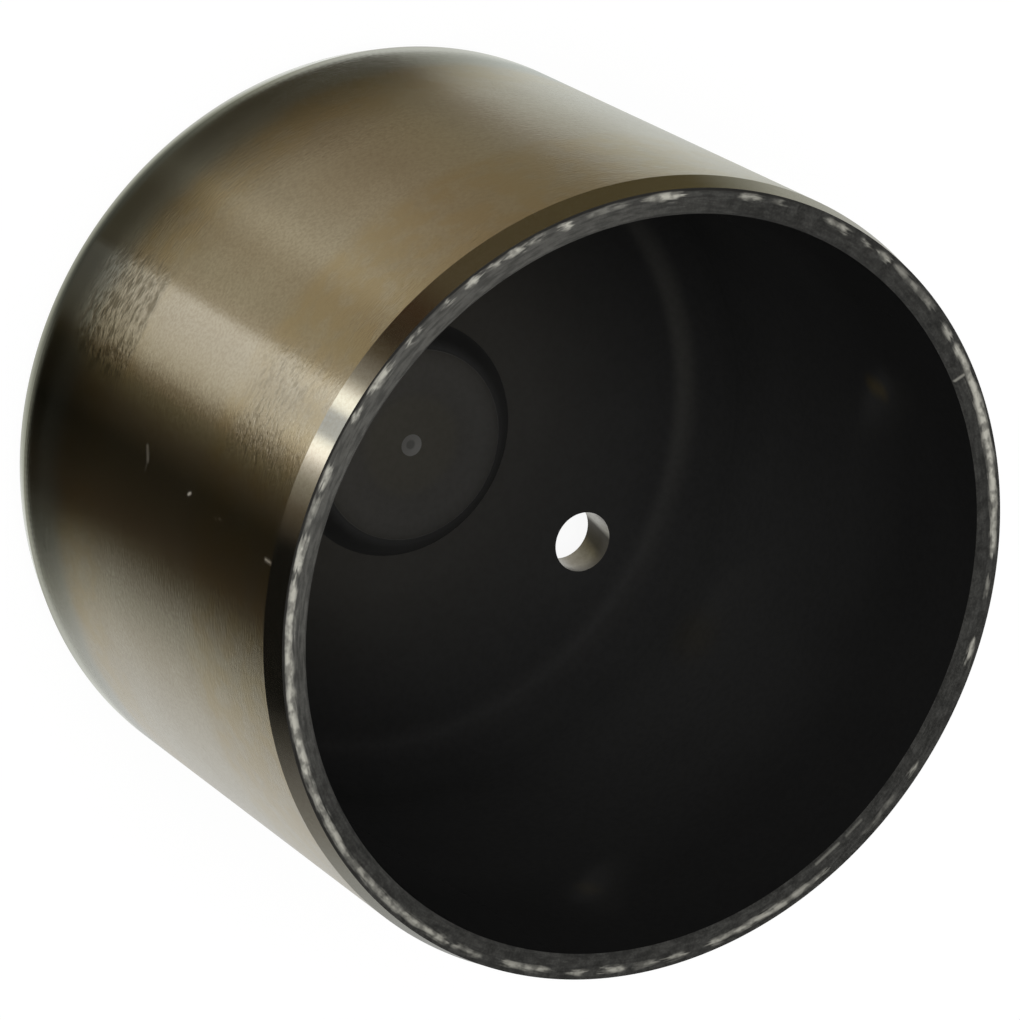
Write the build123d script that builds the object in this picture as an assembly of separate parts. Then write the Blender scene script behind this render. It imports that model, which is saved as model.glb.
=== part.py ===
from build123d import *
import math
import os

# A bucket-shaped cam follower for a cam-driven fuel pump, in millimetres.
#
# The cam rubs on the flat outer face of the crown, the skirt slides in a bore in
# the head, and the pump's plunger stands on a small raised pad inside the cup.
# It is one piece: turned, hardened, ground on the skirt and the crown.
#
# It stands on its crown with the mouth up. The origin is the middle of the crown's
# outer face and +Z is the sliding axis, so every height below is a height above
# the face that the cam rubs on. The vent hole lies on the +Y side.

# skirt: the ground cylinder that slides in the guide bore
skirt_radius = 15.5
overall_height = 23.0
wall_thickness = 1.21

# mouth: a slim taper outside leads the skirt into its bore, and the inner edge is broken
mouth_taper_height = 1.05
mouth_taper_depth = 0.22
mouth_inner_chamfer = 0.1

# crown: the closed end, a disc with a tapered and softly rounded rim
crown_thickness = 3.1
crown_taper_height = 1.2
crown_taper_angle = 16.0
crown_edge_round = 0.25
floor_corner_round = 2.3

# pad: the seat for the plunger's foot, a low table with a sloping flank
pad_radius = 3.94
pad_rise = 0.95
pad_flank_angle = 45.0
pad_edge_round = 0.08

# centre mark: the small shallow dimple that the lathe centre leaves in the pad
centre_mark_radius = 0.45
centre_mark_depth = 0.08
centre_mark_flat_radius = 0.18

# vent hole: it lets oil and air out of the cup as the follower moves
vent_radius = 1.26
vent_offset = 10.2
vent_plain_length = 1.78
vent_countersink_angle = 90.0


def half_section():
    """The right half of the cup cut through its axis, drawn in the X-Z plane."""
    bore_radius = skirt_radius - wall_thickness
    crown_face_radius = skirt_radius - crown_taper_height * math.tan(math.radians(crown_taper_angle))
    pad_height = crown_thickness + pad_rise
    flank_foot_radius = pad_radius + pad_rise * math.tan(math.radians(pad_flank_angle))

    mark_floor = (0, pad_height - centre_mark_depth)
    crown_rim = (crown_face_radius, 0)
    floor_corner = (bore_radius, crown_thickness)
    pad_edge = (pad_radius, pad_height)

    with BuildSketch(Plane.XZ) as section:
        with BuildLine():
            Polyline(
                (0, 0),
                crown_rim,
                (skirt_radius, crown_taper_height),
                (skirt_radius, overall_height - mouth_taper_height),
                (skirt_radius - mouth_taper_depth, overall_height),
                (bore_radius + mouth_inner_chamfer, overall_height),
                (bore_radius, overall_height - mouth_inner_chamfer),
                floor_corner,
                (flank_foot_radius, crown_thickness),
                pad_edge,
                (centre_mark_radius, pad_height),
                (centre_mark_flat_radius, pad_height - centre_mark_depth),
                mark_floor,
                close=True,
            )
        make_face()
        for corner, radius in (
            (crown_rim, crown_edge_round),
            (floor_corner, floor_corner_round),
            (pad_edge, pad_edge_round),
        ):
            fillet(section.vertices().sort_by_distance((*corner, 0))[0], radius)
    return section.sketch


def vent_cutter():
    """The drill and the countersink of the vent, pointing up from the crown's outer face."""
    sink_depth = crown_thickness - vent_plain_length
    sink_radius = vent_radius + sink_depth * math.tan(math.radians(vent_countersink_angle / 2))
    with BuildPart() as cutter:
        with Locations((0, vent_offset, 0)):
            Cylinder(vent_radius, crown_thickness + pad_rise, align=(Align.CENTER, Align.CENTER, Align.MIN))
            Cone(sink_radius, vent_radius, sink_depth, align=(Align.CENTER, Align.CENTER, Align.MIN))
    return cutter.part


def follower_cup():
    """The whole follower: the section spun round its axis, then drilled."""
    cup = revolve(half_section(), axis=Axis.Z)
    return cup - vent_cutter()


os.makedirs("parts", exist_ok=True)
export_step(follower_cup(), "parts/follower_cup.step")
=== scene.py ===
# %% [markdown]
# # A fuel pump cam follower
#
# This lesson dresses a small steel bucket: the follower that stands between an engine's cam
# and the plunger of its fuel pump. The frame loads first, because it holds the part's true
# size and place. Everything that comes later is in metres in that same frame.

# %% Load the frame
import math
import bmesh
import bpy
from mathutils import Matrix, Vector


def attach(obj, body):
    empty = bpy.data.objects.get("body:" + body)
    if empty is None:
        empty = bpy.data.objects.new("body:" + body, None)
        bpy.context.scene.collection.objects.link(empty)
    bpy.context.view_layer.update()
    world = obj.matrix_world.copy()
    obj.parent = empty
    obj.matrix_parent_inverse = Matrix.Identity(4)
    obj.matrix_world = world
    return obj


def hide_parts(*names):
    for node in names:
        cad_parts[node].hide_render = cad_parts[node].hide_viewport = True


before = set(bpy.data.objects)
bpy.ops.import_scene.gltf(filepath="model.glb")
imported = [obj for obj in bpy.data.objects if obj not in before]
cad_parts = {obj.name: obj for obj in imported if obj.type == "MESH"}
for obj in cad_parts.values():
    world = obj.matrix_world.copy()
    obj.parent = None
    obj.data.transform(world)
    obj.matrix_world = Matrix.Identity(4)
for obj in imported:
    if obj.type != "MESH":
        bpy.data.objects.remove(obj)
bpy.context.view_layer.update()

MM = 0.001

# %% [markdown]
# ## Camera
#
# The picture was taken from a little in front of the mouth, about 56 degrees above the plane
# that the crown stands on, with the camera turned far over, so that the cup seems to lie on
# its side. A long lens keeps the sides of the skirt nearly parallel. The camera is aimed at a
# point with a track rotation, and then rolled about its own line of sight.

# %% Place the camera
CAMERA_PLACE = Vector((-2.66, -120.11, 187.47)) * MM
CAMERA_AIM = Vector((0.19, 0.543, 11.5)) * MM
CAMERA_ROLL = math.radians(121.16)
CAMERA_LENS = 195.32


def aimed(place, aim):
    """The matrix of a camera or a lamp at a place that looks at its aim."""
    return Matrix.Translation(place) @ (aim - place).to_track_quat("-Z", "Y").to_matrix().to_4x4()


camera_data = bpy.data.cameras.new("camera")
camera_data.lens = CAMERA_LENS
camera_data.sensor_width = 36
camera_data.clip_start = 0.01
camera_data.clip_end = 5
camera = bpy.data.objects.new("camera", camera_data)
bpy.context.scene.collection.objects.link(camera)
camera.matrix_world = aimed(CAMERA_PLACE, CAMERA_AIM) @ Matrix.Rotation(CAMERA_ROLL, 4, "Z")
bpy.context.scene.camera = camera
bpy.context.scene.view_settings.view_transform = "Standard"
print("camera stands", round((CAMERA_AIM - CAMERA_PLACE).length / MM), "mm from its aim")

# %% [markdown]
# ## Sizes of the cup
#
# The follower is turned from bar, so its shape is a half section spun round an axis. These
# are the same lengths that the solid model has.

# %% Name the sizes
SKIRT_RADIUS = 15.5 * MM
OVERALL_HEIGHT = 23 * MM
WALL_THICKNESS = 1.21 * MM
MOUTH_TAPER_HEIGHT = 1.05 * MM
MOUTH_TAPER_DEPTH = 0.22 * MM
MOUTH_INNER_CHAMFER = 0.1 * MM
CROWN_THICKNESS = 3.1 * MM
CROWN_TAPER_HEIGHT = 1.2 * MM
CROWN_TAPER_ANGLE = math.radians(16)
CROWN_EDGE_ROUND = 0.25 * MM
FLOOR_CORNER_ROUND = 2.3 * MM
PAD_RADIUS = 3.94 * MM
PAD_RISE = 0.95 * MM
PAD_FLANK_ANGLE = math.radians(45)
PAD_EDGE_ROUND = 0.08 * MM
MARK_RADIUS = 0.45 * MM
MARK_DEPTH = 0.08 * MM
MARK_FLAT_RADIUS = 0.18 * MM
VENT_RADIUS = 1.26 * MM
VENT_OFFSET = 10.2 * MM
VENT_PLAIN_LENGTH = 1.78 * MM

BORE_RADIUS = SKIRT_RADIUS - WALL_THICKNESS
CROWN_FACE_RADIUS = SKIRT_RADIUS - CROWN_TAPER_HEIGHT * math.tan(CROWN_TAPER_ANGLE)
RIM_OUTER_RADIUS = SKIRT_RADIUS - MOUTH_TAPER_DEPTH
RIM_INNER_RADIUS = BORE_RADIUS + MOUTH_INNER_CHAMFER
PAD_HEIGHT = CROWN_THICKNESS + PAD_RISE
PAD_FOOT_RADIUS = PAD_RADIUS + PAD_RISE * math.tan(PAD_FLANK_ANGLE)
print("bore radius", round(BORE_RADIUS / MM, 3), "mm, pad top at", round(PAD_HEIGHT / MM, 3), "mm")

# %% [markdown]
# ## The turned cup
#
# A round part can be spun from a section, or it can be drawn out ring by ring. The second
# way is used here, because it follows the work on the lathe: a disc as wide as the crown's
# face is extruded up the skirt, in over the rim, down the bore and up on the pad, and is
# scaled to its new radius at each stop. The faces that it leaves behind are the wall.

# %% Draw the cup out of a disc
AROUND = 256
SECTION_STOPS = [
    (SKIRT_RADIUS, CROWN_TAPER_HEIGHT),
    (SKIRT_RADIUS, OVERALL_HEIGHT - MOUTH_TAPER_HEIGHT),
    (RIM_OUTER_RADIUS, OVERALL_HEIGHT),
    (RIM_INNER_RADIUS, OVERALL_HEIGHT),
    (BORE_RADIUS, OVERALL_HEIGHT - MOUTH_INNER_CHAMFER),
    (BORE_RADIUS, CROWN_THICKNESS),
    (PAD_FOOT_RADIUS, CROWN_THICKNESS),
    (PAD_RADIUS, PAD_HEIGHT),
    (MARK_RADIUS, PAD_HEIGHT),
    (MARK_FLAT_RADIUS, PAD_HEIGHT - MARK_DEPTH),
]


def switch_to(mode):
    """Switches between object mode and edit mode."""
    bpy.ops.object.mode_set(mode=mode)


def draw_out(stops, radius, height):
    """Extrudes the selected round face from stop to stop, scaling it to each new radius."""
    for new_radius, new_height in stops:
        bpy.ops.mesh.extrude_region_move(TRANSFORM_OT_translate={"value": (0, 0, new_height - height)})
        scale = new_radius / radius
        if scale != 1:
            bpy.ops.transform.resize(value=(scale, scale, 1), center_override=(0, 0, new_height))
        radius, height = new_radius, new_height


bpy.ops.mesh.primitive_circle_add(vertices=AROUND, radius=CROWN_FACE_RADIUS, fill_type="NGON")
cup = bpy.context.object
cup.name = cup.data.name = "follower_body"
switch_to("EDIT")
draw_out(SECTION_STOPS, CROWN_FACE_RADIUS, 0)
bpy.ops.mesh.select_all(action="SELECT")
bpy.ops.mesh.normals_make_consistent(inside=False)
switch_to("OBJECT")
print("the cup has", len(cup.data.polygons), "faces")

# %% [markdown]
# ## Rounded corners
#
# Three rings are rounded: the rim of the crown, the wide corner at the foot of the bore, and
# the top edge of the pad. A ring is picked by its radius and height, and the bevel operator
# rounds it. Each step of a round turns by under nine degrees, so that smooth shading can run
# over it while real corners stay crisp.

# %% Round three rings
NEAR = 0.002 * MM
DEGREES_PER_STEP = 7.5


def select_ring(radius, height):
    """Selects the edges of the ring at that radius and height."""
    mesh = bmesh.from_edit_mesh(cup.data)
    for edge in mesh.edges:
        edge.select_set(all(
            abs(point.co.xy.length - radius) < NEAR and abs(point.co.z - height) < NEAR
            for point in edge.verts
        ))
    bmesh.update_edit_mesh(cup.data)


def round_ring(radius, height, rounding, turn_degrees):
    """Rounds the ring where two walls meet that turn by this many degrees."""
    select_ring(radius, height)
    reach = rounding * math.tan(math.radians(turn_degrees) / 2)
    bpy.ops.mesh.bevel(
        offset=reach,
        offset_type="OFFSET",
        segments=math.ceil(turn_degrees / DEGREES_PER_STEP),
        profile=0.5,
        affect="EDGES",
        clamp_overlap=False,
    )


switch_to("EDIT")
bpy.ops.mesh.select_mode(type="EDGE")
round_ring(CROWN_FACE_RADIUS, 0, CROWN_EDGE_ROUND, 90 - math.degrees(CROWN_TAPER_ANGLE))
round_ring(BORE_RADIUS, CROWN_THICKNESS, FLOOR_CORNER_ROUND, 90)
round_ring(PAD_RADIUS, PAD_HEIGHT, PAD_EDGE_ROUND, math.degrees(PAD_FLANK_ANGLE))
switch_to("OBJECT")
print("with rounds it has", len(cup.data.polygons), "faces")

# %% [markdown]
# ## The vent hole
#
# A drilled hole through the floor lets oil and air out of the cup. It is countersunk from
# the cam's side. A drill with its countersink is drawn out in the same way as the cup, and a
# boolean modifier takes it away from the crown.

# %% Drill the vent
SINK_DEPTH = CROWN_THICKNESS - VENT_PLAIN_LENGTH
BELOW = 0.5 * MM
DRILL_CORNERS = 96

drill_start_radius = VENT_RADIUS + SINK_DEPTH + BELOW
bpy.ops.mesh.primitive_circle_add(
    vertices=DRILL_CORNERS, radius=drill_start_radius, fill_type="NGON", location=(0, 0, -BELOW)
)
drill = bpy.context.object
bpy.ops.object.transform_apply(location=True, rotation=True, scale=True)
switch_to("EDIT")
draw_out([(VENT_RADIUS, SINK_DEPTH), (VENT_RADIUS, PAD_HEIGHT)], drill_start_radius, -BELOW)
bpy.ops.mesh.select_all(action="SELECT")
bpy.ops.mesh.normals_make_consistent(inside=False)
bpy.ops.transform.translate(value=(0, VENT_OFFSET, 0))
switch_to("OBJECT")

bpy.context.view_layer.objects.active = cup
cup.select_set(True)
cut = cup.modifiers.new("vent", "BOOLEAN")
cut.operation = "DIFFERENCE"
cut.solver = "EXACT"
cut.object = drill
bpy.ops.object.modifier_apply(modifier=cut.name)
bpy.data.objects.remove(drill)
print("drilled, it has", len(cup.data.polygons), "faces")

# %% [markdown]
# ## Smooth shading
#
# Smooth shading by angle keeps every turned corner sharp. A weighted normal modifier then
# lets the wide flat faces rule the shading, so that no false gradient runs over the floor.

# %% Shade the cup
SHARP_FROM = math.radians(9.5)
bpy.ops.object.shade_smooth_by_angle(angle=SHARP_FROM)
even = cup.modifiers.new("even_normals", "WEIGHTED_NORMAL")
even.keep_sharp = True
bpy.ops.object.modifier_apply(modifier=even.name)
print("sharp edges", sum(edge.use_edge_sharp for edge in cup.data.edges))

# %% [markdown]
# ## Small helpers for node trees
#
# Materials here are procedural. A few helpers keep their cells short: they feed a socket with
# a link or a plain value, add a node, lay tones along a value from stop to stop, or start a
# shader node group with named inputs and outputs.

# %% Node helpers
SOCKETS = {"value": "NodeSocketFloat", "vector": "NodeSocketVector", "colour": "NodeSocketColor"}
NUMBER_RESULTS = ("DOT_PRODUCT", "LENGTH", "DISTANCE")


def feed(tree, sockets, sources):
    """Feeds the named sockets, each with a link or with a plain value."""
    for name, source in sources.items():
        if isinstance(source, bpy.types.NodeSocket):
            tree.links.new(source, sockets[name])
        else:
            sockets[name].default_value = source


def node(tree, kind, inputs=None, **settings):
    """Adds a node, sets it up and feeds the inputs that are named."""
    made = tree.nodes.new("ShaderNode" + kind)
    for name, value in settings.items():
        setattr(made, name, value)
    feed(tree, made.inputs, inputs or {})
    return made


def maths(tree, operation, *terms):
    """A maths node on up to three terms, and its result."""
    return node(tree, "Math", dict(enumerate(terms)), operation=operation).outputs[0]


def times(tree, *terms):
    """The first two terms multiplied, and the third added where there is one."""
    return maths(tree, "MULTIPLY_ADD" if len(terms) == 3 else "MULTIPLY", *terms)


def vectors(tree, operation, *terms):
    """A vector maths node. Its result is a vector, or a number where it measures one."""
    made = node(tree, "VectorMath", dict(enumerate(terms)), operation=operation)
    return made.outputs["Value" if operation in NUMBER_RESULTS else "Vector"]


def scaled(tree, vector, share):
    """A vector or a colour times a number."""
    return node(tree, "VectorMath", {0: vector, "Scale": share}, operation="SCALE").outputs["Vector"]


def axis_of(tree, vector, axis):
    """One of the three numbers of a vector."""
    return node(tree, "SeparateXYZ", {0: vector}).outputs[axis]


def turn_of(tree, vector):
    """The turn round the axis, in degrees from +X."""
    axes = node(tree, "SeparateXYZ", {0: vector}).outputs
    return times(tree, maths(tree, "ARCTAN2", axes["Y"], axes["X"]), 180 / math.pi)


def plane_radius(tree, position):
    """The distance from the axis."""
    return vectors(tree, "LENGTH", vectors(tree, "MULTIPLY", position, (1, 1, 0)))


def noise(tree, place, scale, detail):
    """Noise in three dimensions."""
    return node(tree, "TexNoise", {"Vector": place, "Scale": scale, "Detail": detail}).outputs[0]


def between(tree, value, low, high, out_low=0, out_high=1):
    """Eases a value from one range to another, and clamps it."""
    inputs = {"Value": value, "From Min": low, "From Max": high, "To Min": out_low, "To Max": out_high}
    return node(tree, "MapRange", inputs, interpolation_type="SMOOTHSTEP").outputs["Result"]


def blend_colours(tree, share, first, second):
    """Mixes two colours by a share."""
    return node(tree, "Mix", {0: share, 6: first, 7: second}, data_type="RGBA").outputs[2]


def ramp(tree, value, stops):
    """A colour that follows a value from stop to stop. A stop has a grey tone or three numbers."""
    low, high = stops[0][0], stops[-1][0]
    share = maths(tree, "DIVIDE", maths(tree, "SUBTRACT", value, low), high - low)
    made = node(tree, "ValToRGB", {"Fac": share})
    elements = made.color_ramp.elements
    while len(elements) < len(stops):
        elements.new(0.5)
    for element, (place, tone) in zip(elements, stops):
        element.position = (place - low) / (high - low)
        element.color = (*tone, 1) if isinstance(tone, tuple) else (tone, tone, tone, 1)
    return made.outputs["Color"]


def new_group(name, inputs, outputs):
    """A shader node group that takes a position and more named inputs, and both its ends."""
    group = bpy.data.node_groups.new(name, "ShaderNodeTree")
    for socket_name, value in {"Position": None, **inputs}.items():
        kind = "vector" if value is None else "colour" if isinstance(value, tuple) else "value"
        socket = group.interface.new_socket(socket_name, in_out="INPUT", socket_type=SOCKETS[kind])
        if value is not None:
            socket.default_value = value
    for socket_name, kind in outputs.items():
        group.interface.new_socket(socket_name, in_out="OUTPUT", socket_type=SOCKETS[kind])
    given = group.nodes.new("NodeGroupInput")
    return group, given.outputs, group.nodes.new("NodeGroupOutput").inputs


def place_group(tree, group, position, values):
    """Places a group in a tree with its own values, and returns its outputs."""
    made = tree.nodes.new("ShaderNodeGroup")
    made.node_tree = group
    feed(tree, made.inputs, {"Position": position, **values})
    return made.outputs


def start_material(name):
    """A material, its tree, its shader's inputs, and the piece's coordinates in millimetres."""
    material = bpy.data.materials.new(name)
    material.use_nodes = True
    tree = material.node_tree
    coordinates = node(tree, "TexCoord").outputs["Object"]
    position = node(tree, "Mapping", {"Vector": coordinates, "Scale": (1000, 1000, 1000)})
    return material, tree, tree.nodes["Principled BSDF"].inputs, position.outputs["Vector"]


print("helpers ready")

# %% [markdown]
# ## Effect: marks that run round the axis
#
# Grinding and turning leave fine lines round the axis. Noise that is squeezed along the
# height and stretched round the part gives them on the skirt. The three scales of a noise
# texture's coordinates do that without a seam, because the piece is round.

# %% Group: lines round a wall
round_lines, given, result = new_group(
    "lines_round_wall", {"Length": 1, "Width": 0.05, "Detail": 2}, {"Lines": "value"},
)
tree = round_lines
along = maths(tree, "DIVIDE", 1, given["Length"])
across = maths(tree, "DIVIDE", 1, given["Width"])
squeeze = node(tree, "CombineXYZ", {"X": along, "Y": along, "Z": across}).outputs[0]
lines = node(tree, "TexNoise", {
    "Vector": vectors(tree, "MULTIPLY", given["Position"], squeeze),
    "Scale": 1, "Detail": given["Detail"], "Roughness": 0.6,
})
feed(tree, result, {"Lines": lines.outputs[0]})
print("made", round_lines.name)

# %% [markdown]
# ## Effect: rings on a flat face
#
# On the floor and the pad the tool moved inwards, so its marks are rings. The radius alone
# drives a noise in one dimension. A little noise in the plane breaks the rings.

# %% Group: rings on a face
face_rings, given, result = new_group("rings_on_face", {"Pitch": 0.12, "Waver": 0.05}, {"Rings": "value"})
tree = face_rings
waver = noise(tree, given["Position"], 0.6, 2)
shifted = times(tree, waver, given["Waver"], plane_radius(tree, given["Position"]))
turns = maths(tree, "DIVIDE", shifted, given["Pitch"])
rings = node(tree, "TexNoise", {"W": turns, "Scale": 1, "Detail": 3}, noise_dimensions="1D")
feed(tree, result, {"Rings": rings.outputs[0]})
print("made", face_rings.name)

# %% [markdown]
# ## Effect: patina
#
# Coated and oxidised steel is never one even colour. Two layers of noise, one of wide
# clouds and one of fine grain, mix a plain colour with a second one.

# %% Group: patina
patina, given, result = new_group(
    "patina",
    {
        "Cloud size": 4, "Grain size": 0.15, "Amount": 0.5, "Grain amount": 0.3,
        "Colour": (0.5, 0.5, 0.5, 1), "Second colour": (0.3, 0.3, 0.3, 1),
    },
    {"Colour": "colour"},
)
tree = patina
clouds = noise(tree, given["Position"], maths(tree, "DIVIDE", 1, given["Cloud size"]), 3)
grain = noise(tree, given["Position"], maths(tree, "DIVIDE", 1, given["Grain size"]), 2)
share = times(tree, between(tree, clouds, 0.35, 0.65), given["Amount"])
share = times(tree, between(tree, grain, 0.35, 0.7), given["Grain amount"], share)
share = maths(tree, "MINIMUM", share, 1)
feed(tree, result, {"Colour": blend_colours(tree, share, given["Colour"], given["Second colour"])})
print("made", patina.name)

# %% [markdown]
# ## Effect: a scratch
#
# The cup carries a few short scratches and nicks from handling. Each one is a mask round a
# straight line on the steel: the shortest distance from the surface to the line is measured,
# and the mask fades from the line out to its width. A finish lists its scratches as start,
# end, width and strength.

# %% Group: scratch
scratch, given, result = new_group(
    "scratch", {"Start": None, "End": None, "Width": 0.06, "Strength": 1}, {"Mask": "value"},
)
tree = scratch
line = vectors(tree, "SUBTRACT", given["End"], given["Start"])
offset = vectors(tree, "SUBTRACT", given["Position"], given["Start"])
reach = vectors(tree, "DOT_PRODUCT", offset, line)
share = maths(tree, "DIVIDE", reach, vectors(tree, "DOT_PRODUCT", line, line))
share = node(tree, "Clamp", {"Value": share}).outputs[0]
apart = vectors(tree, "DISTANCE", offset, scaled(tree, line, share))
feed(tree, result, {"Mask": between(tree, apart, given["Width"], 0, 0, given["Strength"])})
print("made", scratch.name)


def scratch_mask(tree, position, marks):
    """The strongest of the masks of several scratches."""
    mask = 0
    for start, end, width, strength in marks:
        values = {"Start": start, "End": end, "Width": width, "Strength": strength}
        mask = maths(tree, "MAXIMUM", place_group(tree, scratch, position, values)["Mask"], mask)
    return mask


# %% [markdown]
# ## Effect: heat tints in bands
#
# The coat has run through the tints of heated steel: slate at the crown, golden brown above
# it and again near the mouth, and a paler grey-brown where the skirt ran in its bore. The
# bands follow the height, and a slow noise lets their borders wander. A quicker noise
# mottles the gold.

# %% Group: heat bands
heat_bands, given, result = new_group("heat_bands", {"Wander": 1.6}, {"Slate": "value", "Golden": "value"})
tree = heat_bands
drift = maths(tree, "SUBTRACT", noise(tree, given["Position"], 0.28, 3), 0.5)
height = times(tree, drift, given["Wander"], axis_of(tree, given["Position"], "Z"))
low_gold = times(tree, between(tree, height, 3.9, 5.1), between(tree, height, 9.2, 6.2))
high_gold = between(tree, height, 15.2, 16.6)
mottled = between(tree, noise(tree, given["Position"], 0.9, 4), 0.38, 0.6, 0.35, 1)
feed(tree, result, {
    "Slate": between(tree, height, 4.8, 3.5),
    "Golden": times(tree, maths(tree, "MAXIMUM", low_gold, high_gold), mottled),
})
print("made", heat_bands.name)

# %% [markdown]
# ## Effect: rough patches
#
# On the side that the photo shows, the skirt is scuffed in two places: in coarse scaly marks
# near the crown, which end in a straight border, and in fine specks near the mouth. Both are
# short marks along the direction of grinding, kept inside a window of height and turn. The
# windows are put out too, because the golden tint is rubbed off there.

# %% Group: rough patches
PATCH_TURN = -85.8
SCALY_MARKS = {"Length": 0.55, "Width": 0.32, "Detail": 2.5}
SPECKS = {"Length": 0.45, "Width": 0.17, "Detail": 3}

rough_patches, given, result = new_group(
    "rough_patches", {"Coarse end": 8.1, "Fine start": 15.2},
    {"Coarse": "value", "Fine": "value", "Place": "value"},
)
tree, position = rough_patches, given["Position"]
off_centre = maths(tree, "ABSOLUTE", maths(tree, "SUBTRACT", turn_of(tree, position), PATCH_TURN))
window = between(tree, off_centre, 11.5, 5, 0.04, 1)
height = axis_of(tree, position, "Z")
coarse_full = maths(tree, "SUBTRACT", given["Coarse end"], 0.5)
below = times(tree, between(tree, height, given["Coarse end"], coarse_full), between(tree, height, 1.9, 4.4))
below = times(tree, below, window)
fine_full = maths(tree, "ADD", given["Fine start"], 2.6)
above = times(tree, between(tree, height, given["Fine start"], fine_full), window)
above = times(tree, above, between(tree, height, 21.5, 18.5, 0.35, 1))
scales = place_group(tree, round_lines, position, SCALY_MARKS)["Lines"]
specks = place_group(tree, round_lines, position, SPECKS)["Lines"]
feed(tree, result, {
    "Coarse": times(tree, between(tree, scales, 0.36, 0.70), below),
    "Fine": times(tree, between(tree, specks, 0.44, 0.70), above),
    "Place": times(tree, above, 0.7, below),
})
print("made", rough_patches.name)

# %% [markdown]
# ## Finish of the outside
#
# The outside is ground and then coated, so it is a bronze-grey metal that mirrors in bands
# along the axis. Anisotropy with a tangent round the axis keeps those bands narrow and long.
# The grinding lines come from the group above, through a bump.

# %% Ground metal
GROUND_COLOUR = (0.49, 0.445, 0.362, 1)
GROUND_SECOND = (0.42, 0.368, 0.287, 1)
TAPER_COLOUR = (0.45, 0.41, 0.33, 1)
TAPER_SECOND = (0.41, 0.365, 0.285, 1)
SKIRT_LINE_DEPTH = 0.000008
CROWN_LINE_DEPTH = 0.000002


def ground_metal(name, colour, second, roughness, line_depth):
    """Coated steel, ground round the axis, and the parts that a finish builds on."""
    material, tree, shader, position = start_material(name)
    tone = place_group(tree, patina, position, {
        "Cloud size": 3, "Grain size": 0.13, "Amount": 0.4, "Grain amount": 0.75,
        "Colour": colour, "Second colour": second,
    })["Colour"]
    lines = place_group(tree, round_lines, position, {"Length": 0.35, "Width": 0.09})["Lines"]
    feed(tree, shader, {
        "Base Color": tone,
        "Tangent": node(tree, "Tangent", direction_type="RADIAL", axis="Z").outputs[0],
        "Metallic": 1,
        "Roughness": roughness,
        "Anisotropic": 0.85,
        "Anisotropic Rotation": 0.25,
    })
    return material, tree, shader, position, tone, times(tree, lines, line_depth)


def raise_relief(tree, shader, relief, depth=1):
    """Turns a relief, times its depth in metres, into a bump on a shader's normal."""
    bump = node(tree, "Bump", {"Height": relief, "Distance": depth, "Strength": 1})
    feed(tree, shader, {"Normal": bump.outputs[0]})


taper_finish = ground_metal("ground_taper", TAPER_COLOUR, TAPER_SECOND, 0.14, 0)[0]
crown_finish, tree, shader, position, tone, relief = ground_metal(
    "crown_face", GROUND_COLOUR, GROUND_SECOND, 0.3, CROWN_LINE_DEPTH,
)
raise_relief(tree, shader, relief)
print("made", taper_finish.name, crown_finish.name)

# %% [markdown]
# ## The skirt's own marks
#
# The skirt adds its heat tints, its rough patches and its few scratches. A scratch cuts
# through the coat, so it is brighter, rougher and less of a mirror. Near the crown the
# grinding is finer, and the skirt is more of a mirror there.

# %% Skirt material
GOLDEN = (0.455, 0.375, 0.24, 1)
SLATE = (0.43, 0.425, 0.385, 1)
SCUFFED = (0.20, 0.17, 0.12, 1)
BARE_SCRATCH = (0.62, 0.60, 0.54, 1)
SKIRT_SCRATCHES = [
    ((4.77, -14.75, 11.16), (5.2, -14.61, 11.44), 0.17, 0.18),
    ((5.33, -14.56, 11.4), (5.55, -14.47, 11.39), 0.14, 0.05),
    ((5.42, -14.52, 14.98), (5.35, -14.55, 15.12), 0.14, 0.4),
    ((5.84, -14.36, 21.46), (5.85, -14.36, 21.82), 0.13, 0.3),
    ((5.85, -14.36, 21.82), (5.91, -14.33, 22.1), 0.13, 0.18),
    ((5.53, -14.48, 17.6), (5.55, -14.47, 17.72), 0.1, 0.06),
    ((5.6, -14.45, 17.3), (5.63, -14.44, 17.36), 0.1, 0.06),
]
COARSE_DEPTH = 0.000009
FINE_DEPTH = 0.000005

skirt_finish, tree, shader, position, base, relief = ground_metal(
    "ground_skirt", GROUND_COLOUR, GROUND_SECOND, 0.17, SKIRT_LINE_DEPTH,
)
height = axis_of(tree, position, "Z")
tints = place_group(tree, heat_bands, position, {})
scuffs = place_group(tree, rough_patches, position, {})
golden = times(tree, tints["Golden"], maths(tree, "SUBTRACT", 0.85, scuffs["Place"]))
base = blend_colours(tree, maths(tree, "MAXIMUM", golden, 0), base, GOLDEN)
base = blend_colours(tree, tints["Slate"], base, SLATE)
scuffed = times(tree, scuffs["Fine"], 0.45, times(tree, scuffs["Coarse"], 0.85))
scuffed = times(tree, scuffs["Place"], 0.1, scuffed)
base = blend_colours(tree, maths(tree, "MINIMUM", scuffed, 1), base, SCUFFED)
relief = times(tree, relief, between(tree, height, 1.4, 3.2, 0.2, 1))
relief = times(tree, scuffs["Coarse"], -COARSE_DEPTH, relief)
relief = times(tree, scuffs["Fine"], -FINE_DEPTH, relief)
scratched = scratch_mask(tree, position, SKIRT_SCRATCHES)
feed(tree, shader, {
    "Base Color": blend_colours(tree, scratched, base, BARE_SCRATCH),
    "Metallic": maths(tree, "SUBTRACT", 1, scratched),
    "Roughness": maths(tree, "MAXIMUM", scratched, between(tree, height, 1.4, 3.4, 0.07, 0.17)),
})
raise_relief(tree, shader, relief)
print("made", skirt_finish.name, "with", len(SKIRT_SCRATCHES), "scratches")

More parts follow.
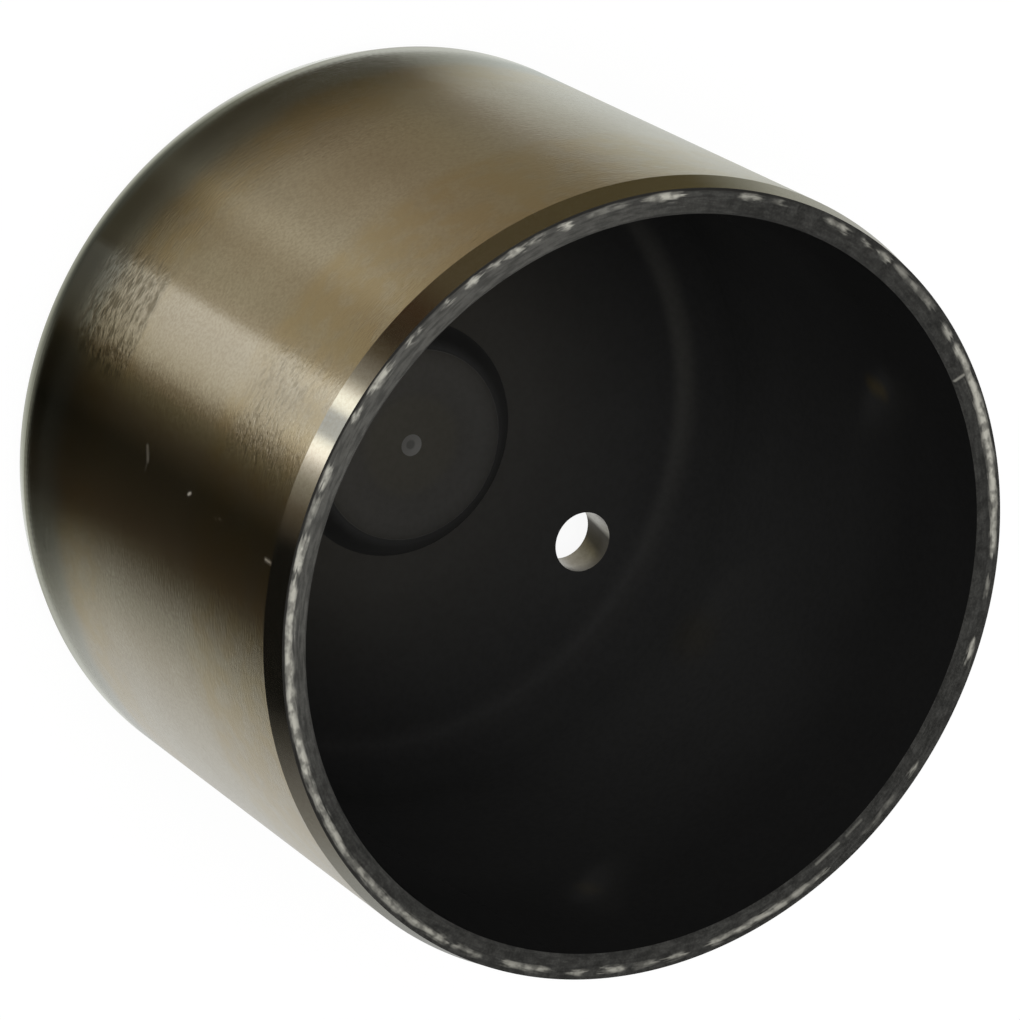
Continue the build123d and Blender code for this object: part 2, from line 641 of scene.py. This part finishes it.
# %% [markdown]
# ## Finish of the inside
#
# Inside, the steel is left as the heat treatment blackened it: nearly black, with the rings
# of the turning tool faintly in it. Its tone changes slowly from place to place: the pad is
# the palest, polished by the plunger, its flank is dark, the floor darkens outwards, and the
# wall is darkest at the mouth and paler lower down, where painted light stands in for the
# floor that the wall mirrors. A faint ring on the round in the corner is a painted highlight,
# and painted light makes one side paler. Nothing parts them on the real cup, so one material
# reads its tone from the distance to the axis on the floor, and from the height on the wall.
# A few faint spots on the wall are painted reflections of the vent. The scratch group draws
# them, wide and soft.

# %% Inside material
# the small rise near 12.9 mm is a painted highlight on the corner round
INSIDE_BY_RADIUS = [
    (0, 0.062), (1.9, 0.062), (2.2, 0.057), (3.2, 0.06), (3.7, 0.052), (3.85, 0.044), (3.94, 0.036),
    (4, 0.05), (4.15, 0.036), (4.35, 0.0235), (4.6, 0.0225), (4.78, 0.0265), (4.95, 0.035), (6, 0.0345),
    (7, 0.0305), (9, 0.024), (10.8, 0.02), (12.3, 0.017), (12.6, 0.018), (12.9, 0.0205), (13.2, 0.0176),
    (13.5, 0.0166), (13.9, 0.0165),
]
# the paler lower wall is painted light, the floor mirrored in the wall
INSIDE_BY_HEIGHT = [
    (3.9, 0.0165), (4.3, 0.0182), (4.6, 0.0194), (4.9, 0.0215), (5.2, 0.0255), (5.5, 0.029), (7.5, 0.0295),
    (10, 0.028), (14, 0.0245), (18, 0.0172), (22, 0.014), (24, 0.0122),
]
INSIDE_TINT = (1, 1, 0.985, 1)
PAD_TINT = (1, 0.98, 0.88, 1)
MIRRORED_TINT = (1, 0.8, 0.4, 1)
# degrees from +X of the painted light on the floor and wall, of the painted light on the pad's flank, and of
# the painted highlight in the corner
PAINTED_LIGHT_SIDE, PAINTED_LIGHT_FLANK, CORNER_HIGHLIGHT_SIDE = 93, 80, 138
PAINTED_CORNER_HIGHLIGHT = (1, 0.96, 0.78)
CORNER_HIGHLIGHT_SHARE = 0.0125
INSIDE_RING_DEPTH = 0.000001
PAINTED_VENT_REFLECTION = (0.060, 0.044, 0.012, 1)
VENT_REFLECTION_SPOTS = [
    ((-10.99, 9.13, 16.2), (-10.99, 9.13, 16.8), 0.7, 0.6),
    ((1.01, 14.25, 7.2), (1.01, 14.25, 7.8), 1.7, 0.16),
    ((11.31, 8.73, 16.9), (11.31, 8.73, 17.3), 0.7, 0.17),
]

inside_finish, tree, shader, position = start_material("black_inside")
radius = plane_radius(tree, position)
height = axis_of(tree, position, "Z")


def way_to(degrees):
    """The direction that lies at these degrees from +X."""
    return math.cos(math.radians(degrees)), math.sin(math.radians(degrees)), 0


def turned_to(degrees, narrowness):
    """One on the side that lies at these degrees, and falling to nothing beside it."""
    share = maths(tree, "DIVIDE", vectors(tree, "DOT_PRODUCT", position, way_to(degrees)), radius)
    return maths(tree, "POWER", maths(tree, "MAXIMUM", share, 0), narrowness)


# the slow change of tone
on_wall = between(tree, radius, 13.6, 14.1)
floor_tone = ramp(tree, radius, INSIDE_BY_RADIUS)
tone = blend_colours(tree, on_wall, floor_tone, ramp(tree, height, INSIDE_BY_HEIGHT))
tint = blend_colours(tree, between(tree, radius, 2.4, 1.7), INSIDE_TINT, PAD_TINT)
tone = vectors(tree, "MULTIPLY", tone, tint)

# painted light makes one side paler, on the floor, the wall, the flank and the pad, and painted shade
# darkens the pad towards +Y
on_floor = between(tree, radius, 6, 12, 0, 0.42)
down_wall = between(tree, height, 20, 6, 0.05, 0.45)
painted_light = times(tree, turned_to(PAINTED_LIGHT_SIDE, 3), between(tree, on_wall, 0, 1, on_floor, down_wall))
on_flank = times(tree, between(tree, radius, 4.02, 4.3), between(tree, radius, 4.9, 4.6))
painted_light = times(tree, times(tree, on_flank, turned_to(PAINTED_LIGHT_FLANK, 1)), 0.8, painted_light)
painted_shade_across_pad = between(tree, axis_of(tree, position, "Y"), 4, -4, -0.16, 0.04)
painted_light = times(tree, between(tree, radius, 4, 3.9), painted_shade_across_pad, painted_light)
tone = scaled(tree, tone, maths(tree, "ADD", painted_light, 1))

# a painted highlight on the round in the corner
corner_highlight = times(tree, between(tree, radius, 12.4, 12.85), between(tree, radius, 13.6, 13.05))
corner_highlight = times(tree, corner_highlight, times(tree, turned_to(CORNER_HIGHLIGHT_SIDE, 6), CORNER_HIGHLIGHT_SHARE))
tone = vectors(tree, "ADD", tone, scaled(tree, PAINTED_CORNER_HIGHLIGHT, corner_highlight))
# painted reflections of the vent, as faint golden spots on the wall
tone = blend_colours(tree, scratch_mask(tree, position, VENT_REFLECTION_SPOTS), tone, PAINTED_VENT_REFLECTION)

surface = place_group(tree, patina, position, {
    "Cloud size": 5, "Grain size": 0.25, "Amount": 0.25, "Grain amount": 0.35,
    "Colour": tone, "Second colour": scaled(tree, tone, 0.75),
})
feed(tree, shader, {
    "Base Color": surface["Colour"],
    "Roughness": between(tree, radius, 12.3, 13.9, 0.42, 0.13),
    "Specular IOR Level": between(tree, radius, 5, 13, 0.35, 0.006),
    "Specular Tint": MIRRORED_TINT,
})
rings = place_group(tree, face_rings, position, {"Pitch": 0.2})["Rings"]
raise_relief(tree, shader, rings, INSIDE_RING_DEPTH)
print("made", inside_finish.name)

# %% [markdown]
# ## The centre mark
#
# The plunger's foot has rubbed a pale ring round the dimple that the lathe centre left. The
# distance from the axis picks the ring.

# %% Centre mark material
MARK_DARK = (0.082, 0.08, 0.073, 1)
MARK_PALE = (0.135, 0.132, 0.122, 1)

mark_finish, tree, shader, position = start_material("centre_mark")
radius = plane_radius(tree, position)
ring = times(tree, between(tree, radius, 0.14, 0.24), between(tree, radius, 0.5, 0.42))
feed(tree, shader, {"Base Color": blend_colours(tree, ring, MARK_DARK, MARK_PALE), "Roughness": 0.5})
print("made", mark_finish.name)

# %% [markdown]
# ## Effect: wear round the mouth
#
# The outer half of the rim is rubbed bare in patches where the follower knocked against other
# steel. Each patch is an arc, given by the degrees where it starts and ends, counted from
# +X, and how bare it is. Colour ramps lay the arcs round the circle, seven to a ramp because
# a ramp holds 32 stops. A noise that is drawn out along the rim makes the patches streaky.
# The bare band leans outwards on one side, and wanders a little.

# %% Group: rim wear
WORN_ARCS = [
    (-178, -173.5, 0.5), (-166, -164, 0.3), (-162, -158.5, 0.5), (-149, -145, 0.8), (-145, -143.5, 0.45),
    (-140, -134, 0.2), (-131, -129.5, 0.9), (-127, -125, 0.6), (-124, -121, 0.8), (-120, -118, 0.5),
    (-116.5, -114, 0.9), (-111, -110, 0.6), (-105.6, -105, 0.4), (-103.5, -102.5, 0.6), (-99, -94.5, 0.95),
    (-92, -90, 0.9), (-83, -80, 0.8), (-79, -74, 0.4), (-73, -67.6, 1), (-67, -52.5, 0.85),
    (-52.5, -37, 0.8), (-37, -25, 0.6), (-25, -17, 0.45), (-17, 0, 0.5), (0.5, 6, 0.3), (10, 18, 0.45),
    (21.5, 24.5, 0.45), (27, 31, 0.5), (32.5, 36, 0.3), (37.5, 41, 0.4), (45, 60, 0.5), (60, 66.5, 0.4),
    (74, 82, 0.15), (85, 87, 0.4), (104, 107, 0.6), (114, 117, 0.25), (120.5, 128, 0.7), (128, 143, 0.9),
    (143, 150, 0.85), (150, 155, 0.75), (156, 159, 0.5), (162, 172, 0.3), (173, 175.5, 0.5),
    (177.5, 179, 0.4),
]
SOFT_END = 0.8
ARCS_PER_RAMP = 7
LEAN_SIDE = -125

rim_wear, given, result = new_group(
    "rim_wear",
    {"Middle radius": 15, "Lean": 0.05, "Streak length": 0.8, "Streak width": 0.1},
    {"Bare": "value", "Streaks": "value"},
)
tree = rim_wear
radius = plane_radius(tree, given["Position"])
heading = vectors(tree, "NORMALIZE", vectors(tree, "MULTIPLY", given["Position"], (1, 1, 0)))


def rim_noise(length, width, detail):
    """Noise that is this long round the rim and this wide across it."""
    round_rim = scaled(tree, heading, maths(tree, "DIVIDE", RIM_OUTER_RADIUS / MM, length))
    across = node(tree, "CombineXYZ", {"Z": maths(tree, "DIVIDE", radius, width)}).outputs[0]
    return noise(tree, vectors(tree, "ADD", round_rim, across), 1, detail)


def arc_stops(arcs):
    """The stops of a ramp over these arcs, with soft ends. Arcs that touch run together."""
    stops = []
    for start, end, bareness in arcs:
        if stops and stops[-1][0] >= start:
            stops.pop()
        else:
            stops.append((start - SOFT_END / 2, 0))
        middle = (start + end) / 2
        stops.append((min(start + SOFT_END, middle), bareness))
        stops.append((max(end - SOFT_END, middle), bareness))
        stops.append((end + SOFT_END / 2, 0))
    return [(arcs[0][0] - SOFT_END, 0), *sorted(stops), (arcs[-1][1] + SOFT_END, 0)]


streaks = rim_noise(given["Streak length"], given["Streak width"], 3)
uneven = maths(tree, "SUBTRACT", streaks, 0.5)
drift = maths(tree, "SUBTRACT", rim_noise(1.6, 3, 2), 0.5)
angle = times(tree, uneven, 5, turn_of(tree, heading))
worn = 0
for first in range(0, len(WORN_ARCS), ARCS_PER_RAMP):
    arcs = WORN_ARCS[first:first + ARCS_PER_RAMP]
    worn = maths(tree, "ADD", ramp(tree, angle, arc_stops(arcs)), worn)

lean = vectors(tree, "DOT_PRODUCT", heading, way_to(LEAN_SIDE))
middle = times(tree, drift, 0.16, times(tree, lean, given["Lean"], given["Middle radius"]))
half_width = times(tree, uneven, 0.35, times(tree, worn, 0.11, 0.11))
off_middle = maths(tree, "ABSOLUTE", maths(tree, "SUBTRACT", radius, middle))
off_middle = maths(tree, "DIVIDE", off_middle, maths(tree, "MAXIMUM", half_width, 0.05))
bare = times(tree, worn, between(tree, off_middle, 1.2, 0))
bare = times(tree, bare, between(tree, rim_noise(0.45, 0.3, 2), 0.36, 0.62, 0.4, 1.3))
feed(tree, result, {"Bare": bare, "Streaks": streaks})
print("worn arcs", len(WORN_ARCS))

# %% [markdown]
# ## Finish of the mouth's rim
#
# The flat rim was turned and blackened, so it is dark grey with streaks that run round it,
# and a painted highlight makes it paler on one side, as the sheen of a turned face is. The
# wear group lays bare steel over its outer half. A thin dark line runs along the very edge
# on that side.

# %% Rim material
RIM_DARK = (0.017, 0.0167, 0.0145, 1)
RIM_PAINTED_SHEEN = (0.086, 0.084, 0.075, 1)
RIM_GRAIN = (0.17, 0.168, 0.155, 1)
RIM_STREAK = (0.008, 0.008, 0.007, 1)
RIM_EDGE_LINE = (0.012, 0.011, 0.009, 1)
RIM_BARE = (0.60, 0.585, 0.51, 1)
RIM_SHEEN_SIDE = -95
RIM_NICKS = [
    ((-12.38, 7.2, 23), (-12.8, 7.45, 23), 0.1, 0.4),
    ((6, 13.12, 23), (4.9, 13.56, 23), 0.1, 0.22),
    ((4.5, 13.7, 23), (3.7, 13.94, 23), 0.1, 0.15),
]
RIM_DEPTH = 0.000006

rim_finish, tree, shader, position = start_material("mouth_rim")
radius = plane_radius(tree, position)
wear = place_group(tree, rim_wear, position, {})
# a painted highlight, the sheen of a turned face, makes the rim paler towards one side
toward_sheen_side = vectors(tree, "DOT_PRODUCT", vectors(tree, "NORMALIZE", position), way_to(RIM_SHEEN_SIDE))
toward_sheen_side = times(tree, toward_sheen_side, math.hypot(OVERALL_HEIGHT, RIM_OUTER_RADIUS) / RIM_OUTER_RADIUS)
tone = blend_colours(tree, between(tree, toward_sheen_side, 0.3, 0.98), RIM_DARK, RIM_PAINTED_SHEEN)
tone = place_group(tree, patina, position, {
    "Cloud size": 0.5, "Grain size": 0.09, "Amount": 0.4, "Grain amount": 0.4,
    "Colour": tone, "Second colour": blend_colours(tree, 0.3, tone, RIM_GRAIN),
})["Colour"]
tone = blend_colours(tree, between(tree, wear["Streaks"], 0.35, 0.6, 0.45, 0), tone, RIM_STREAK)
# a thin dark line along the outer edge, on the side of the sheen
edge_line = times(tree, between(tree, radius, 15.14, 15.2), between(tree, toward_sheen_side, 0.1, 0.5, 0, 0.9))
tone = blend_colours(tree, edge_line, tone, RIM_EDGE_LINE)
bare = times(tree, wear["Bare"], between(tree, radius, 15.24, 15.16))
bare = maths(tree, "MAXIMUM", scratch_mask(tree, position, RIM_NICKS), bare)
bare = maths(tree, "MINIMUM", bare, 1)
feed(tree, shader, {
    "Base Color": blend_colours(tree, bare, tone, RIM_BARE),
    "Metallic": times(tree, bare, 0.3),
    "Specular IOR Level": 0.3,
    "Roughness": between(tree, bare, 0, 1, 0.6, 0.42),
})
raise_relief(tree, shader, maths(tree, "SUBTRACT", wear["Streaks"], bare), RIM_DEPTH)
print("made", rim_finish.name)

# %% [markdown]
# ## Finish of the vent
#
# The vent was drilled after blackening, so its wall is bare steel. It is dark brown down the
# side that lies away from the pad and pale round the rest. A ramp over the turn round the
# hole's own axis sets its tones, which slant a little with the height. The wall darkens at
# the floor.

# %% Vent material
VENT_TONES = [
    (0, (0.4, 0.39, 0.35)), (24, (0.34, 0.33, 0.29)), (44, (0.24, 0.22, 0.17)), (70, (0.19, 0.175, 0.13)),
    (92, (0.09, 0.078, 0.045)), (106, (0.026, 0.022, 0.01)), (138, (0.022, 0.018, 0.009)),
    (149, (0.3, 0.295, 0.265)), (180, (0.44, 0.43, 0.4)),
]
VENT_SLANT = 10.8
VENT_STAIN = (0.6, 0.57, 0.5)
VENT_SHADE = (0.05, 0.045, 0.035, 1)

vent_finish, tree, shader, position = start_material("drilled_vent")
from_vent = vectors(tree, "SUBTRACT", position, (0, VENT_OFFSET / MM, 0))
height = axis_of(tree, from_vent, "Z")
turn = times(tree, maths(tree, "SUBTRACT", height, SINK_DEPTH / MM), VENT_SLANT, turn_of(tree, from_vent))
tone = ramp(tree, turn, VENT_TONES)
surface = place_group(tree, patina, position, {
    "Cloud size": 0.8, "Grain size": 0.15, "Amount": 0.4, "Grain amount": 0.3,
    "Colour": tone, "Second colour": vectors(tree, "MULTIPLY", tone, VENT_STAIN),
})
shade = between(tree, height, 2.3, 3.1, 0, between(tree, turn, 144, 126, 0, 0.7))
feed(tree, shader, {
    "Base Color": blend_colours(tree, shade, surface["Colour"], VENT_SHADE),
    "Metallic": 1,
    "Roughness": 0.35,
})
print("made", vent_finish.name)

# %% [markdown]
# ## Which face gets which finish
#
# Every finish is put on by the place of a face: its distance from the axis, its height, its
# normal and its distance from the vent's axis. The tests are read from the top down, and the
# first that holds wins.

# %% Assign the finishes
EDGE = 0.01 * MM
VENT_REACH = VENT_RADIUS + SINK_DEPTH + EDGE
FACE_TESTS = [
    (vent_finish, lambda r, z, n, d: d < VENT_REACH and z < CROWN_THICKNESS - EDGE and abs(n.z) < 0.9),
    (crown_finish, lambda r, z, n, d: z < EDGE),
    (skirt_finish, lambda r, z, n, d: r > BORE_RADIUS + EDGE and z < OVERALL_HEIGHT - MOUTH_TAPER_HEIGHT),
    (taper_finish, lambda r, z, n, d: r > RIM_OUTER_RADIUS),
    (rim_finish, lambda r, z, n, d: z > OVERALL_HEIGHT - MOUTH_INNER_CHAMFER),
    (inside_finish, lambda r, z, n, d: r > PAD_RADIUS - EDGE or n.z > 0.99 and z > PAD_HEIGHT - EDGE),
    (mark_finish, lambda r, z, n, d: True),
]
counts = {}
for material, test in FACE_TESTS:
    cup.data.materials.append(material)
for face in cup.data.polygons:
    # a face's centre lies a hair inside its ring, so the mean radius of its corners is read
    radius = sum(cup.data.vertices[i].co.xy.length for i in face.vertices) / len(face.vertices)
    from_vent = (face.center.xy - Vector((0, VENT_OFFSET))).length
    for index, (material, test) in enumerate(FACE_TESTS):
        if test(radius, face.center.z, face.normal, from_vent):
            face.material_index = index
            counts[material.name] = counts.get(material.name, 0) + 1
            break
print("faces per finish", counts)

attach(cup, "root")
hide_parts("follower_cup")

# %% [markdown]
# ## Floor, light and background
#
# The floor is plain and pale. Its own glow for camera and mirror rays makes it read as
# white, and its diffuse part still takes the part's shadow. The world is white to the same
# rays, and lights the part more softly.

# %% Floor
WHITE = (1, 1, 1, 1)
PAINT = (0.8, 0.8, 0.8, 1)
THIN_PAINT = (0.11, 0.11, 0.11, 1)
FLOOR_GLOW = 0.92
FLOOR_RADIUS, FLOOR_DROP = 1.5, 0.02 * MM


def flat_disc(name, corners, radius, height):
    """A round plate at this height."""
    bpy.ops.mesh.primitive_circle_add(vertices=corners, radius=radius, fill_type="NGON", location=(0, 0, 0))
    disc = bpy.context.object
    disc.name = name
    switch_to("EDIT")
    bpy.ops.transform.translate(value=(0, 0, height))
    switch_to("OBJECT")
    return disc


def empty_tree(owner):
    """Turns on the nodes of a material or a world, and clears them."""
    owner.use_nodes = True
    owner.node_tree.nodes.clear()
    return owner.node_tree


def pick_by_ray(tree, lighting, seen):
    """Parts a shader for lighting from one for camera, glass and mirror rays."""
    path = node(tree, "LightPath").outputs
    direct = maths(tree, "MAXIMUM", path["Is Camera Ray"], path["Is Transmission Ray"])
    direct = maths(tree, "MAXIMUM", direct, path["Is Glossy Ray"])
    return node(tree, "MixShader", {0: direct, 1: lighting.outputs[0], 2: seen.outputs[0]}).outputs[0]


floor = flat_disc("floor", 128, FLOOR_RADIUS, -FLOOR_DROP)
floor_material = bpy.data.materials.new("plain_floor")
tree = empty_tree(floor_material)
paint = node(tree, "BsdfDiffuse", {"Color": PAINT})
thin_paint = node(tree, "BsdfDiffuse", {"Color": THIN_PAINT})
shine = node(tree, "Emission", {"Color": WHITE, "Strength": FLOOR_GLOW})
seen = node(tree, "AddShader", {0: shine.outputs[0], 1: thin_paint.outputs[0]})
node(tree, "OutputMaterial", {"Surface": pick_by_ray(tree, paint, seen)})
floor.data.materials.append(floor_material)
print("floor ready")

# %% World
SOFT_LIGHT = 0.6

world = bpy.data.worlds.new("studio")
bpy.context.scene.world = world
tree = empty_tree(world)
soft = node(tree, "Background", {"Color": WHITE, "Strength": SOFT_LIGHT})
white = node(tree, "Background", {"Color": WHITE, "Strength": 1})
node(tree, "OutputWorld", {"Surface": pick_by_ray(tree, soft, white)})
print("world ready")

# %% [markdown]
# ## Key lamp
#
# One square area lamp stands above and in front of the cup. It lights the inside of the cup
# and draws the soft shadow. Mirror rays don't see it, so it leaves no glare on the steel.

# %% Lamp
LAMP_PLACE = Vector((-0.02, -0.28, 0.55))
LAMP_AIM = Vector((0, 0, 0.012))
LAMP_SIZE = 0.45
LAMP_WATTS = 1.5

lamp_data = bpy.data.lights.new("key_lamp", "AREA")
lamp_data.size = LAMP_SIZE
lamp_data.energy = LAMP_WATTS
lamp = bpy.data.objects.new("key_lamp", lamp_data)
bpy.context.scene.collection.objects.link(lamp)
lamp.matrix_world = aimed(LAMP_PLACE, LAMP_AIM)
lamp.visible_glossy = False
print("lamp ready")

# %% [markdown]
# ## Reflection cards
#
# Steel shows what it mirrors. A photographer chooses that with cards laid round a shiny part,
# and so do the cards here, which only mirror rays see. The first is a plain grey ceiling. The
# rim, the cup's floor and the pad mirror it.

# %% Ceiling card
CEILING_RADIUS, CEILING_HEIGHT, CEILING_GLOW = 1.1, 0.62, 0.18


def start_card(card, name):
    """Hides a card from every ray but mirrored ones, and clears a new material for it."""
    for ray in ("camera", "diffuse", "transmission", "volume_scatter", "shadow"):
        setattr(card, "visible_" + ray, False)
    material = bpy.data.materials.new(name)
    card.data.materials.append(material)
    return empty_tree(material)


def glow(tree, colour, strength=1):
    """Lets a material shine in this colour."""
    shine = node(tree, "Emission", {"Color": colour, "Strength": strength})
    node(tree, "OutputMaterial", {"Surface": shine.outputs[0]})


ceiling = flat_disc("ceiling_card", 64, CEILING_RADIUS, CEILING_HEIGHT)
glow(start_card(ceiling, "grey_ceiling"), WHITE, CEILING_GLOW)
print("ceiling card ready")

# %% [markdown]
# ## The toned card on the ground
#
# From this camera the skirt mirrors only the ground close by. A ray that meets the wall at
# some turn from the camera's side leaves at twice that turn, so each column of the card starts
# at its own foot on the wall and has its own heading. The bands are then laid out by that turn
# in degrees, and the rows of the card give the distance.

# %% Tones of the card
CARD_REACH = 120 * MM
CARD_START = SKIRT_RADIUS - 0.4 * MM
CAMERA_AZIMUTH = math.atan2(CAMERA_PLACE.y, CAMERA_PLACE.x)

# the bands that the skirt mirrors, and farther out those that the taper at the mouth mirrors
NEAR_BANDS = [
    (-90, (0.7, 0.7, 0.69)), (-70, (0.76, 0.77, 0.75)), (-58, (0.7, 0.71, 0.685)), (-50, (0.6, 0.6, 0.55)),
    (-43, (0.38, 0.385, 0.345)), (-38.5, (0.2, 0.195, 0.16)), (-36, (0.11, 0.1, 0.075)),
    (-34, (0.055, 0.045, 0.028)), (-31.5, (0.04, 0.03, 0.017)), (-27, (0.025, 0.02, 0.011)),
    (-21, (0.014, 0.012, 0.006)), (-16, (0.055, 0.045, 0.026)), (-12.5, (0.13, 0.115, 0.07)),
    (-10.7, (0.25, 0.21, 0.135)), (-8, (0.66, 0.63, 0.52)), (-5, (0.87, 0.85, 0.76)),
    (-1, (0.95, 0.94, 0.88)), (1.3, (0.98, 0.97, 0.9)), (2.4, (0.55, 0.5, 0.39)), (6, (0.5, 0.46, 0.35)),
    (12, (0.495, 0.445, 0.335)), (16.5, (0.64, 0.6, 0.485)), (20, (0.54, 0.5, 0.4)),
    (25, (0.47, 0.42, 0.32)), (33, (0.35, 0.3, 0.215)), (42, (0.3, 0.26, 0.175)),
    (48, (0.29, 0.265, 0.195)), (52, (0.33, 0.3, 0.24)), (55, (0.48, 0.475, 0.42)),
    (62, (0.62, 0.64, 0.59)), (70, (0.79, 0.83, 0.8)), (90, (0.75, 0.77, 0.76)),
]
FAR_BANDS = [
    (-90, (0.44, 0.45, 0.45)), (-64, (0.4, 0.42, 0.42)), (-55, (0.28, 0.28, 0.27)),
    (-48, (0.18, 0.18, 0.175)), (-42, (0.06, 0.06, 0.055)), (-38, (0.004, 0.004, 0.003)),
    (-18, (0.004, 0.004, 0.003)), (-13.5, (0.14, 0.12, 0.09)), (-10, (0.42, 0.41, 0.36)),
    (-8.2, (0.9, 0.88, 0.85)), (-6.6, (2.2, 2.2, 2.2)), (-5.2, (2.3, 2.4, 2.4)), (-4.4, (0.85, 0.92, 1)),
    (-1.2, (0.85, 0.93, 1.05)), (-0.6, (2.1, 2.2, 2.2)), (1, (2.2, 2.3, 2.3)), (1.8, (1.2, 1.2, 1.15)),
    (3.4, (0.45, 0.44, 0.41)), (7, (0.14, 0.12, 0.09)), (9.5, (0.055, 0.04, 0.025)),
    (14, (0.06, 0.035, 0.018)), (19, (0.115, 0.095, 0.058)), (54, (0.115, 0.1, 0.05)),
    (60, (0.28, 0.29, 0.25)), (66, (0.48, 0.5, 0.46)), (90, (0.62, 0.62, 0.6)),
]

# how the bands fade towards the crown: turn, share of the tone that stays there, and where
# the full tone is reached and where the fade starts, both in tens of millimetres on the card
FADES = [
    (-90, (1, 0.3, 0.23)), (-75, (0.93, 0.3, 0.23)), (-58, (0.62, 0.31, 0.23)), (-51, (0.42, 0.36, 0.23)),
    (-43, (0.25, 0.39, 0.23)), (-38, (0.23, 0.41, 0.23)), (-30, (0.42, 0.5, 0.23)),
    (-20, (0.3, 0.74, 0.23)), (-14, (0.15, 0.66, 0.2)), (-8, (0.12, 0.53, 0.17)), (0, (0.12, 0.52, 0.17)),
    (4, (0.15, 0.54, 0.2)), (10, (0.15, 0.57, 0.23)), (17, (0.17, 0.57, 0.23)), (24, (0.14, 0.65, 0.23)),
    (33, (0.15, 0.68, 0.23)), (43, (0.19, 0.69, 0.23)), (51, (0.27, 0.64, 0.23)), (56, (0.45, 0.55, 0.23)),
    (63, (0.7, 0.5, 0.23)), (72, (0.85, 0.4, 0.23)), (90, (1, 0.32, 0.23)),
]

# the crown's taper and the skirt's first half millimetre mirror a light line: turn, tone at
# the line's foot, tone at its top, and how many millimetres beyond the first it reaches
LIGHT_LINE = [
    (-90, (0.8, 0.72, 0.9)), (-70, (0.95, 0.78, 0.9)), (-60, (1, 0.72, 0.88)), (-50, (1, 0.64, 0.6)),
    (-40, (0.9, 0.56, 0.42)), (-30, (0.66, 0.42, 0.32)), (-20, (0.64, 0.27, 0.28)), (-10, (0.58, 0.1, 0.3)),
    (0, (0.59, 0.08, 0.24)), (10, (0.7, 0.11, 0.36)), (20, (0.8, 0.15, 0.42)), (30, (0.84, 0.32, 0.42)),
    (40, (0.95, 0.62, 0.52)), (50, (1, 0.8, 0.66)), (60, (1, 0.76, 0.95)), (70, (0.92, 0.76, 0.95)),
    (90, (0.8, 0.74, 0.9)),
]
print("bands", len(NEAR_BANDS), "near and", len(FAR_BANDS), "far")

# %% The reflection card
FADED_TINT = (1, 0.985, 0.86, 1)
DIM_LINE_TINT = (1, 1.02, 0.84, 1)
BRIGHT_LINE_TINT = (1, 1.02, 0.97, 1)
LINE_SOFTNESS = 0.28

bpy.ops.mesh.primitive_grid_add(x_subdivisions=180, y_subdivisions=12, size=1, calc_uvs=True)
card = bpy.context.object
card.name = "reflection_card"
for point in card.data.vertices:
    turn = math.radians(180) * point.co.x
    reach = CARD_REACH * (point.co.y + 0.5)
    foot = CAMERA_AZIMUTH - turn
    heading = CAMERA_AZIMUTH - 2 * turn
    point.co = Vector((
        CARD_START * math.cos(foot) + reach * math.cos(heading),
        CARD_START * math.sin(foot) + reach * math.sin(heading),
        0.03 * MM,
    ))

tree = start_card(card, "toned_card")
on_card = node(tree, "TexCoord").outputs["UV"]
turn = times(tree, axis_of(tree, on_card, "X"), 180, -90)
distance = times(tree, axis_of(tree, on_card, "Y"), CARD_REACH / MM)
far_out = between(tree, distance, 17, 20.5)
tones = blend_colours(tree, far_out, ramp(tree, turn, NEAR_BANDS), ramp(tree, turn, FAR_BANDS))

fades = node(tree, "SeparateColor", {0: ramp(tree, turn, FADES)}).outputs
full_at = times(tree, fades["Green"], 10)
fade = between(tree, distance, times(tree, fades["Blue"], 10), full_at, fades["Red"], 1)
tones = vectors(tree, "MULTIPLY", scaled(tree, tones, fade), blend_colours(tree, fade, FADED_TINT, WHITE))

line = node(tree, "SeparateColor", {0: ramp(tree, turn, LIGHT_LINE)}).outputs
line_tone = between(tree, distance, 0.04, 0.30, line["Red"], line["Green"])
line_end = maths(tree, "ADD", line["Blue"], 1)
on_line = between(tree, distance, line_end, maths(tree, "SUBTRACT", line_end, LINE_SOFTNESS))
line_tint = blend_colours(tree, between(tree, line_tone, 0.3, 0.9), DIM_LINE_TINT, BRIGHT_LINE_TINT)
glow(tree, blend_colours(tree, on_line, tones, scaled(tree, line_tint, line_tone)))
print("card reaches", CARD_REACH / MM, "mm")

# %% [markdown]
# ## A plain card for the far side
#
# The toned card covers only the side that the camera sees. A flat ring under it gives the
# back of the skirt a few bands to mirror, the same left and right.

# %% The card under it
BACK_BANDS = [
    (0, 0.72), (14, 0.7), (28, 0.56), (48, 0.8), (58, 0.75), (72, 0.3), (88, 0.12), (104, 0.16), (118, 0.5),
    (130, 0.62), (150, 0.5), (166, 0.7), (180, 0.74),
]
RING_SPREAD = CARD_REACH / CARD_START

bpy.ops.mesh.primitive_circle_add(vertices=64, radius=CARD_START, fill_type="NOTHING", location=(0, 0, 0))
back_card = bpy.context.object
back_card.name = "back_card"
switch_to("EDIT")
bpy.ops.mesh.extrude_region_move()
bpy.ops.transform.resize(value=(RING_SPREAD, RING_SPREAD, 1))
bpy.ops.mesh.select_all(action="SELECT")
bpy.ops.transform.translate(value=(0, 0, 0.01 * MM))
switch_to("OBJECT")
tree = start_card(back_card, "banded_card")
turn = maths(tree, "ABSOLUTE", turn_of(tree, node(tree, "TexCoord").outputs["Object"]))
glow(tree, ramp(tree, turn, BACK_BANDS))
print("back card ready")
